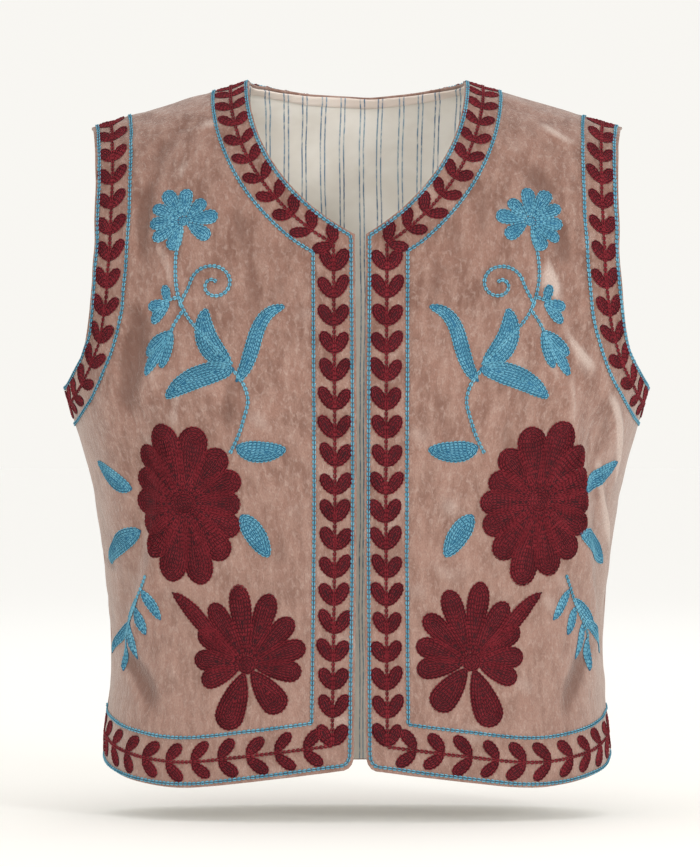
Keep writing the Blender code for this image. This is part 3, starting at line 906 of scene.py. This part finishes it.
def from_crossing(line, other):
    """The rest of a line after it crosses another."""
    line = drawn_out(line, END_REACH)
    i, _, place = crossing(line, drawn_out(other, END_REACH))
    return np.concatenate([[place], line[i + 1 :]])[:-1]


def between_crossings(line, first, last):
    """The stretch of a line between the lines that it crosses first and last."""
    part = from_crossing(line, first)
    return from_crossing(part[::-1], last)[::-1]


END_REACH = 0.030
EDGE_REACHES = {
    "hem": (0.0016, 0.0036),
    "hem corner": (0.0036, 0.0030),
    "front edge": (0.0030, 0.0028),
    "neckline": (0.0026, 0.0020),
}
ARMHOLE_EDGE_REACH = (0.0022, 0.0042)
BACK_NECK_DIP = 0.0016
Border = namedtuple("Border", "front_edge neckline armhole hem")
BORDER = Border((0.0305, 0.0300), (0.0285, 0.0270), (0.0290, 0.0265), (0.0350, 0.0365))


def border_lines(face, lines, inside, hand):
    """Lines a share of the border's width inside one front's edges, cut where they meet."""
    widths = [np.array(reach) * inside for reach in BORDER]
    front_edge = moved_run(face, lines, ["front edge"], [widths[0]], hand)
    neck = moved_run(face, lines, ["neckline"], [widths[1]], hand)
    armhole = moved_run(face, lines, ["armhole"], [widths[2]], -hand)
    hem = moved_run(face, lines, ["hem"], [widths[3]], hand)
    neck_in = between_crossings(neck, front_edge, lines["shoulder"])
    edge_in = between_crossings(front_edge, hem, neck)
    hem_in = between_crossings(hem, lines["side seam"], front_edge)
    armhole_in = between_crossings(armhole, lines["side seam"], lines["shoulder"])
    return {"front edge": edge_in, "neckline": neck_in, "armhole": armhole_in, "hem": hem_in}


def back_border_lines(lines, inside):
    """Lines a share of the border's width inside the back's edges."""
    widths = [np.array(reach) * inside for reach in BORDER]
    level = (widths[1][1], widths[1][1])
    neck = moved_run(BACK, lines, ["neckline"], [level], 1)
    hem = moved_run(BACK, lines, ["hem"], [(widths[3][0], widths[3][0])], 1)
    made = {
        "neckline": between_crossings(neck, lines["right shoulder"], lines["left shoulder"]),
        "hem": between_crossings(hem, lines["left side seam"], lines["right side seam"]),
    }
    for side, hand in (("right", 1), ("left", -1)):
        armhole = moved_run(BACK, lines, [side + " armhole"], [widths[2]], hand)
        seam, shoulder = lines[side + " side seam"], lines[side + " shoulder"]
        made[side + " armhole"] = between_crossings(armhole, seam, shoulder)
    return made


blue_thread = thread_finish(
    "blue_thread", rgb(78, 140, 164), rgb(100, 162, 186), rgb(124, 184, 204), rgb(36, 88, 114)
)
edging = {"left_front": [], "right_front": [], "back": []}
for name, hand in (("left_front", 1), ("right_front", -1)):
    lines = edges[name]
    edging[name].append(moved_run(FRONT, lines, list(EDGE_REACHES), list(EDGE_REACHES.values()), hand))
    edging[name].append(moved_run(FRONT, lines, ["armhole"], [ARMHOLE_EDGE_REACH], -hand))
    edging[name] += border_lines(FRONT, lines, 1, hand).values()
lines = edges["back"]
edging["back"].append(moved_run(BACK, lines, ["hem"], [(EDGE_REACHES["hem"][0],) * 2], 1))
dip = np.sin(np.linspace(0, math.pi, len(lines["neckline"]))) * BACK_NECK_DIP
edging["back"].append(moved_in(BACK, lines["neckline"], EDGE_REACHES["neckline"][1] + dip, 1))
for side, hand in (("right", 1), ("left", -1)):
    edging["back"].append(moved_run(BACK, lines, [side + " armhole"], [ARMHOLE_EDGE_REACH], hand))
edging["back"] += back_border_lines(lines, 1).values()

parts = [chain(faces[name], rows, EDGE_STITCH) for name, rows in edging.items()]
piece = thread_object("edging", TIGHT_LINK, parts, blue_thread)

# ---------------------------------------------------------------------------------------------------------
# Border vines. A red stem of chain stitch runs down the middle of the border with a pair of leaves at each
# step, like a row of hearts. Each leaf is filled with loops of chain stitch, from its outline inwards.

FILL_STITCH = Stitch(OPEN_LINK, 0.0030, 0.00115, 0.00100)
STEM_STITCH = Stitch(TIGHT_LINK, 0.0033, 0.00190, 0.00120)
ROW_GAP = 0.00215
MIDDLE_ROW = 0.35
PAD_HEIGHT = 0.00062
PAD_SINK = 0.00025
PAD_INSET = 0.0005
PAD_POINT = 0.0002
PAD_CROWD = 0.25
PAD_VARIES = 0.00006
Outline = namedtuple("Outline", "widest base tip")
HEART_LEAF = Outline(0.62, 0.55, 0.50)


def half_widths(outline, share):
    """Half the width of a leaf along it, as a share of its widest."""
    reach = np.where(share < outline.widest, outline.widest, 1 - outline.widest)
    away = np.clip(np.abs(share - outline.widest) / reach, 0, 1)
    return (1 - away**2) ** np.where(share < outline.widest, outline.base, outline.tip)


@functools.lru_cache(maxsize=None)
def fill_rows(length, half_width, outline):
    """Rows that fill a leaf, as places along it and across it: loops, then one row down the middle."""
    share = np.linspace(0, 1, 61)
    half = half_width * half_widths(outline, share)
    rim = np.concatenate([np.stack([share * length, side * half], axis=1) for side in (-1, 1)])
    asides = np.linspace(0, half_width, 33)
    rows = []
    for number in range(12):
        inset = (number + 0.5) * ROW_GAP
        if inset > length / 2:
            break
        stations = np.linspace(inset * 0.9, length - inset, 31)
        grid = np.stack(np.meshgrid(stations, asides, indexing="ij"), axis=-1)
        within = grid[..., 1] < np.interp(stations, share * length, half)[:, None]
        clear = within & (np.linalg.norm(grid[:, :, None] - rim, axis=-1).min(axis=-1) >= inset * 0.97)
        kept = clear[:, 0]
        if kept.sum() < 3:
            break
        reach = np.where(clear, asides, 0).max(axis=1)[kept]
        stations = stations[kept]
        if reach.max() < MIDDLE_ROW * ROW_GAP:
            rows.append(np.stack([stations, stations * 0], axis=1))
            break
        there = np.stack([stations, reach], axis=1)
        back = there[::-1] * (1, -1)
        start = np.array([[stations[0], 0]])
        rows.append(np.concatenate([start, there, back, start]))
    return rows


class Filling:
    """Leaves and stems in one colour of thread on one face, gathered before they are stitched."""

    def __init__(self, face):
        self.face = face
        self.stems, self.rows, self.pads = [], [], []

    def leaf(self, controls, half_width, outline):
        """Fills a leaf or a petal whose middle follows a curve through flat control places."""
        controls = np.asarray(controls, float)
        matrix = self.face.drawing(controls.mean(axis=0))
        middle = bezier(np.linalg.solve(matrix, (controls - controls[0]).T).T)(np.linspace(0, 1, 41))
        steps = np.linalg.norm(np.diff(middle, axis=0), axis=1)
        along = np.concatenate([[0], np.cumsum(steps)])
        length = along[-1]
        ways = unit(np.gradient(middle, along, axis=0))

        def placed(places):
            """Flat places of places along and across the leaf."""
            centre, way = [
                np.stack([np.interp(places[:, 0], along, curve[:, k]) for k in (0, 1)], axis=-1)
                for curve in (middle, ways)
            ]
            aside = np.stack([-way[:, 1], way[:, 0]], axis=-1) * places[:, 1:]
            return controls[0] + (centre + aside) @ matrix.T

        self.rows += [placed(row) for row in fill_rows(round(length, 3), round(half_width, 4), outline)]
        ahead = PAD.points[:, 0] * (1 + PAD_CROWD * (1 - PAD.points[:, 0] ** 2))
        share = PAD_INSET / length + (1 + ahead) / 2 * (1 - 2 * PAD_INSET / length)
        half = np.maximum(half_width * half_widths(outline, share) - PAD_INSET, PAD_POINT)
        across = PAD.points[:, 1] * half * -self.face.way
        self.pads.append(placed(np.stack([share * length, across], axis=1)))

    def make(self, name, finish, ground):
        """Stitches everything as one object, over its pads as another, whose dark thread colour is painted
        shade between the links.
        """
        stitched = [chain(self.face, self.rows, FILL_STITCH)]
        if self.stems:
            stitched.append(chain(self.face, self.stems, STEM_STITCH))
        thread_object(name, OPEN_LINK, stitched, finish)
        points, normals = self.face.lay(np.array(self.pads))
        lift = PAD_HEIGHT + random.uniform(-PAD_VARIES, PAD_VARIES, (len(points), 1))
        off = np.where(PAD.points[:, 2] > 0, lift, -PAD_SINK)
        # The pads' ground finish is a dark thread colour: painted shade in the gaps between the links.
        thread_object(name + "_ground", PAD, [points + normals * off[..., None]], ground)


def pad_template():
    """A closed pad from -1 to 1 along, across and up, rounded at its rim by its own outline."""
    bm = bmesh.new()
    bmesh.ops.create_grid(bm, x_segments=10, y_segments=3, size=1)
    made = bmesh.ops.extrude_face_region(bm, geom=bm.faces[:], use_keep_orig=True)
    for item in made["geom"]:
        if isinstance(item, bmesh.types.BMVert):
            item.co.z = 1
    return template_of(bm)


PAD = pad_template()

red_thread = thread_finish("red_thread", rgb(94, 17, 27), rgb(116, 25, 36), rgb(136, 38, 48), rgb(48, 7, 15))
# Pad finishes, much darker than the thread: painted shade between the links.
red_painted_shade = thread_finish("red_painted_shade", rgb(44, 7, 14), rgb(56, 10, 18), rgb(66, 13, 22), rgb(40, 6, 12))
blue_painted_shade = thread_finish(
    "blue_painted_shade", rgb(34, 86, 114), rgb(42, 98, 128), rgb(52, 110, 140), rgb(30, 80, 108)
)

Vine = namedtuple("Vine", "pitch length half_width spread")
EDGE_VINE = Vine(0.0203, 0.0190, 0.0050, 29)
NECK_VINE = Vine(0.0176, 0.0160, 0.0045, 43)
ARMHOLE_VINE = Vine(0.0198, 0.0175, 0.0046, 33)
HEM_VINE = Vine(0.0212, 0.0185, 0.0047, 43)
MIDDLE_OF_BORDER = 0.51
LEAF_VARIES = 0.07
LEAF_SWAY = 4
LEAF_BOW = 1.25


def turned(way, degrees):
    """A direction on the cloth, turned to the left."""
    turn = complex(*way) * complex(math.cos(math.radians(degrees)), math.sin(math.radians(degrees)))
    return np.array([turn.real, turn.imag])


def vine(filling, line, kind):
    """A stem along a line, with a pair of leaves at each step that open the way it grows."""
    face = filling.face
    filling.stems.append(line)
    stops = spaced(face, line, kind.pitch)
    for place, step in zip(stops[:-1], np.diff(stops, axis=0)):
        matrix = face.drawing(place)
        way = unit(np.linalg.solve(matrix, step))
        for hand in (-1, 1):
            varied = random.uniform(1 - LEAF_VARIES, 1 + LEAF_VARIES, 2)
            length, half_width = np.array([kind.length, kind.half_width]) * varied
            spread = hand * (kind.spread + random.uniform(-LEAF_SWAY, LEAF_SWAY))
            middle = matrix @ turned(way, spread * LEAF_BOW) * length / 2
            tip = matrix @ turned(way, spread) * length
            filling.leaf([place, place + middle, place + tip], half_width, HEART_LEAF)


for name, hand in (("left_front", 1), ("right_front", -1)):
    middles = border_lines(FRONT, edges[name], MIDDLE_OF_BORDER, hand)
    filling = Filling(FRONT)
    vine(filling, middles["front edge"], EDGE_VINE)
    vine(filling, middles["neckline"], NECK_VINE)
    vine(filling, middles["armhole"], ARMHOLE_VINE)
    vine(filling, middles["hem"], HEM_VINE)
    filling.make("vines_" + name, red_thread, red_painted_shade)

middles = back_border_lines(edges["back"], MIDDLE_OF_BORDER)
filling = Filling(BACK)
for line, kind in (("neckline", NECK_VINE), ("hem", HEM_VINE)):
    middle = len(middles[line]) // 2
    vine(filling, middles[line][: middle + 1], kind)
    vine(filling, middles[line][: middle - 1 : -1], kind)
for side in ("right", "left"):
    vine(filling, middles[side + " armhole"][::-1], ARMHOLE_VINE)
filling.make("vines_back", red_thread, red_painted_shade)

# ---------------------------------------------------------------------------------------------------------
# Sprays. On each side of the chest a blue flower stands on a curling stem with leaves and two sprigs, and
# more leaves come from behind the red flower below it. All are worked in sky blue chain stitch.

Leaf = namedtuple("Leaf", "places half_width outline")
LONG = Outline(0.42, 0.60, 0.62)
RIBBON = Outline(0.40, 0.50, 0.36)
BLADE = Outline(0.45, 0.70, 0.65)
LOBE_LEAF = Outline(0.62, 0.70, 0.50)
SPRAY_STEMS = [
    [(125, -96), (129, -110), (130, -126), (128, -142), (122, -157), (112, -170), (101, -181), (88, -194)],
    [(128, -145), (134, -147), (140, -149)],
    [(124, -155), (130, -165), (134, -176)],
    [(87, -198), (80, -208), (77, -219), (80, -232), (84, -244), (90, -256)],
]
SPRAY_LEAVES = [
    Leaf([(88, -194), (106, -186), (112, -168), (107, -153)], 8.4, LONG),
    Leaf([(86, -197), (102, -198), (121, -203), (135, -217)], 8.2, LONG),
    Leaf([(86, -206), (70, -192), (76, -164), (66, -154), (51, -152)], 5.6, RIBBON),
    Leaf([(86, -251), (76, -256), (64, -256), (50, -253)], 7.8, LONG),
]
SPRIGS = [
    Leaf([(135, -150), (135, -143), (138, -136)], 3.6, LOBE_LEAF),
    Leaf([(133, -149), (141, -152), (149, -151)], 4.8, LOBE_LEAF),
    Leaf([(133, -149), (140, -155), (146, -164)], 4.4, LOBE_LEAF),
    Leaf([(131, -169), (141, -175), (150, -187)], 4.8, LOBE_LEAF),
    Leaf([(131, -169), (142, -184), (150, -201)], 4.6, LOBE_LEAF),
    Leaf([(131, -169), (134, -182), (139, -196)], 4.4, LOBE_LEAF),
]
LOWER_LEAVES = [
    Leaf([(164, -283), (173, -279), (188, -262)], 7.2, LONG),
    Leaf([(159, -313), (171, -318), (181, -337)], 7.8, LONG),
    Leaf([(83, -300), (76, -308), (63, -331)], 8.0, LONG),
]
FROND_STEM = [(150, -344), (155, -358), (162, -375), (168, -391), (170, -402)]
FROND = [
    Leaf([(153, -354), (148, -365), (141, -377)], 4.2, BLADE),
    Leaf([(158, -367), (156, -377), (152, -388)], 4.2, BLADE),
    Leaf([(156, -361), (166, -371), (170, -386)], 4.2, BLADE),
    Leaf([(163, -379), (163, -391), (160, -406)], 4.2, BLADE),
    Leaf([(163, -377), (174, -387), (179, -403)], 4.2, BLADE),
    Leaf([(167, -390), (170, -402), (169, -415)], 4.4, BLADE),
]
CURL_MIDDLE = (102, -136)
CURL_RADIUS = 16.5
CURL_TURNS = 1.38
CURL_TIGHTENS = 0.86
CURL_POWER = 0.9
CURL_WIDENS = 1.05
CURL_FOOT = [(126, -152), (124, -146), (121, -140)]
Petal = namedtuple("Petal", "degrees length half_width")
SMALL_FLOWER_PETALS = [
    Petal(-128, 23, 5.5),
    Petal(-86, 24.8, 5.7),
    Petal(-46, 21.2, 5.3),
    Petal(-4, 26.7, 5.5),
    Petal(28, 30.4, 5.7),
    Petal(58, 27.6, 4.9),
    Petal(88, 25.8, 5.1),
    Petal(116, 25.8, 5.1),
    Petal(152, 23, 5.7),
]
PETAL = Outline(0.76, 0.85, 0.50)
ROUND = Outline(0.5, 0.5, 0.5)
SMALL_FLOWER_AT = (124, -90)
SMALL_FLOWER_MIDDLE = 4.0
PETAL_START = 0.6
PETAL_VARIES = 0.03
MILLIMETRE = 0.001


def seen(face, side, places):
    """Flat places of points in millimetres outwards and up, as they show from the front."""
    across, up = np.array(places, float).T * MILLIMETRE
    return face.flat_at(side * across, up)


def flowing(places):
    """A smooth line through a few places."""
    places = np.asarray(places, float)
    along = np.concatenate([[0], np.cumsum(np.linalg.norm(np.diff(places, axis=0), axis=1))])
    stops = np.linspace(0, along[-1], ROUTE_SAMPLES)
    return np.stack([smooth_table(stops, along, places[:, k]) for k in (0, 1)], axis=1)


def curl():
    """The spiral end of a tendril, in millimetres."""
    turn = np.linspace(0, CURL_TURNS, 24)
    radius = CURL_RADIUS * (1 - CURL_TIGHTENS * (turn / CURL_TURNS) ** CURL_POWER)
    angle = 2 * math.pi * turn
    x = CURL_MIDDLE[0] + radius * np.cos(angle) * CURL_WIDENS
    return CURL_FOOT + list(zip(x, CURL_MIDDLE[1] + radius * np.sin(angle)))


def petals(filling, side, middle, table, heart):
    """Petals round a small round heart, each at an angle outwards from straight up."""
    face = filling.face
    centre = seen(face, side, [middle])[0]
    matrix = face.drawing(centre)
    start = heart * PETAL_START
    for petal in table:
        way = matrix @ turned((0, 1), -side * petal.degrees) * MILLIMETRE
        length = petal.length * random.uniform(1 - PETAL_VARIES, 1 + PETAL_VARIES)
        places = [centre + way * reach for reach in (start, (start + length) / 2, length)]
        filling.leaf(places, petal.half_width * MILLIMETRE, PETAL)
    across = matrix @ (1, 0) * heart * MILLIMETRE
    filling.leaf([centre - across, centre, centre + across], heart * MILLIMETRE, ROUND)


def sprays(name, face):
    filling = Filling(face)
    for side in (-1, 1):
        for stem in SPRAY_STEMS + [curl(), FROND_STEM]:
            filling.stems.append(seen(face, side, flowing(stem)))
        for leaf in SPRAY_LEAVES + SPRIGS + LOWER_LEAVES + FROND:
            filling.leaf(seen(face, side, leaf.places), leaf.half_width * MILLIMETRE, leaf.outline)
        petals(filling, side, SMALL_FLOWER_AT, SMALL_FLOWER_PETALS, SMALL_FLOWER_MIDDLE)
    filling.make(name, blue_thread, blue_painted_shade)


sprays("sprays_front", FRONT)
sprays("sprays_back", BACK)

# ---------------------------------------------------------------------------------------------------------
# Red flowers. Below each spray a large full flower lies towards the side, and under it a smaller one opens
# upwards from two broad petals and a leaf. Both are filled solid with red chain stitch.

FULL_FLOWER_AT = {-1: (123, -292), 1: (130, -291)}
FULL_FLOWER_REACH = (43, 61)
FULL_FLOWER_PETALS = 14
FULL_PETAL_HALF_WIDTH = 10.2
FULL_PETAL_REACH = 50
FULL_PETAL_VARIES = (0.94, 1.05)
FIRST_PETAL = 0.3
FULL_FLOWER_MIDDLE = 8.0
FAN_FLOWER_MIDDLE = 7.0
FAN_FLOWER_AT = {-1: (79, -408), 1: (82, -406)}
FAN_FLOWER_PETALS = [
    Petal(-97, 40, 8.2),
    Petal(-71, 44, 8.0),
    Petal(-45, 49, 8.0),
    Petal(-20, 54, 8.2),
    Petal(5, 57, 8.2),
    Petal(30, 50, 8.0),
    Petal(56, 44, 8.0),
    Petal(85, 40, 8.0),
    Petal(112, 36, 7.6),
    Petal(163, 50, 11.0),
    Petal(-141, 42, 10.5),
]
FAN_FLOWER_LEAF = Leaf([(84, -404), (108, -388), (118, -366), (133, -356)], 6.2, Outline(0.62, 1.1, 0.80))


def full_flower_petals():
    """Petals all round an oval, with a few a little longer than the rest."""
    table = []
    for number in range(FULL_FLOWER_PETALS):
        degrees = 360 * (number + FIRST_PETAL) / FULL_FLOWER_PETALS
        across, up = math.sin(math.radians(degrees)), math.cos(math.radians(degrees))
        reach = 1 / math.hypot(across / FULL_FLOWER_REACH[0], up / FULL_FLOWER_REACH[1])
        half_width = FULL_PETAL_HALF_WIDTH * (reach / FULL_PETAL_REACH) ** 0.5
        table.append(Petal(degrees, reach * random.uniform(*FULL_PETAL_VARIES), half_width))
    return table


def red_flowers(name, face):
    filling = Filling(face)
    for side in (-1, 1):
        petals(filling, side, FULL_FLOWER_AT[side], full_flower_petals(), FULL_FLOWER_MIDDLE)
        petals(filling, side, FAN_FLOWER_AT[side], FAN_FLOWER_PETALS, FAN_FLOWER_MIDDLE)
        leaf = FAN_FLOWER_LEAF
        filling.leaf(seen(face, side, leaf.places), leaf.half_width * MILLIMETRE, leaf.outline)
    filling.make(name, red_thread, red_painted_shade)


red_flowers("flowers_front", FRONT)
red_flowers("flowers_back", BACK)

# ---------------------------------------------------------------------------------------------------------
# Studio. A pale paper floor that runs out into an even white surround. Four soft lights: one above, two in
# front and a weak one behind.

FLOOR_Z = -0.5210
FLOOR_NEAR = 0.5
FLOOR_FAR = 3.0
FLOOR_HALF = 40
SURROUND_COLOUR = (1.0, 0.984, 0.945, 1)
SURROUND_STRENGTH = 0.94
LENS = 226
CAMERA_AT = (-0.005, -4, -0.2422)


def paper_finish():
    """Pale paper, a little paler further off."""
    finish, shader, nodes = cloth_material("paper", 0.95, 0.0, rgb(255, 255, 255))
    place = nodes.add("ShaderNodeTexCoord", None, None, output=3)
    away = nodes.add("ShaderNodeVectorMath", {"operation": "LENGTH"}, {0: place}, output=1)
    tone = away.between(FLOOR_NEAR, FLOOR_FAR).tint(rgb(254, 253, 250), rgb(255, 255, 255))
    link_to(shader, "Base Color", tone)
    return finish


def floor():
    bm = bmesh.new()
    bmesh.ops.create_grid(bm, x_segments=1, y_segments=1, size=FLOOR_HALF)
    bmesh.ops.translate(bm, verts=bm.verts, vec=(0, 0, FLOOR_Z))
    mesh = bpy.data.meshes.new("floor")
    bm.to_mesh(mesh)
    bm.free()
    mesh.materials.append(paper_finish())
    sheet = bpy.data.objects.new("floor", mesh)
    bpy.context.scene.collection.objects.link(sheet)


def soft_light(name, place, aim, size, power):
    light = bpy.data.lights.new(name, "AREA")
    light.shape = "DISK"
    light.size = size
    light.energy = power
    lamp = bpy.data.objects.new(name, light)
    lamp.location = place
    lamp.rotation_euler = (Vector(aim) - Vector(place)).to_track_quat("-Z", "Y").to_euler()
    bpy.context.scene.collection.objects.link(lamp)


floor()
soft_light("top", (0, -0.8, 3.2), (0, -0.2, -0.3), 2.2, 10)
soft_light("key", (1.9, -3.0, 0.7), (0, 0, -0.25), 0.9, 38)
soft_light("front", (-0.4, -4.2, -0.1), (0, 0, -0.15), 0.8, 34)
soft_light("back", (0.9, 3.2, 2.2), (0, 0, -0.20), 1.6, 8)

world = bpy.data.worlds.new("World")
world.use_nodes = True
world.node_tree.nodes["Background"].inputs["Color"].default_value = SURROUND_COLOUR
world.node_tree.nodes["Background"].inputs["Strength"].default_value = SURROUND_STRENGTH
bpy.context.scene.world = world

lens = bpy.data.cameras.new("camera")
lens.lens = LENS
lens.clip_end = 100
camera = bpy.data.objects.new("camera", lens)
camera.location = CAMERA_AT
camera.rotation_euler = (math.pi / 2, 0, 0)
bpy.context.scene.collection.objects.link(camera)
bpy.context.scene.camera = camera
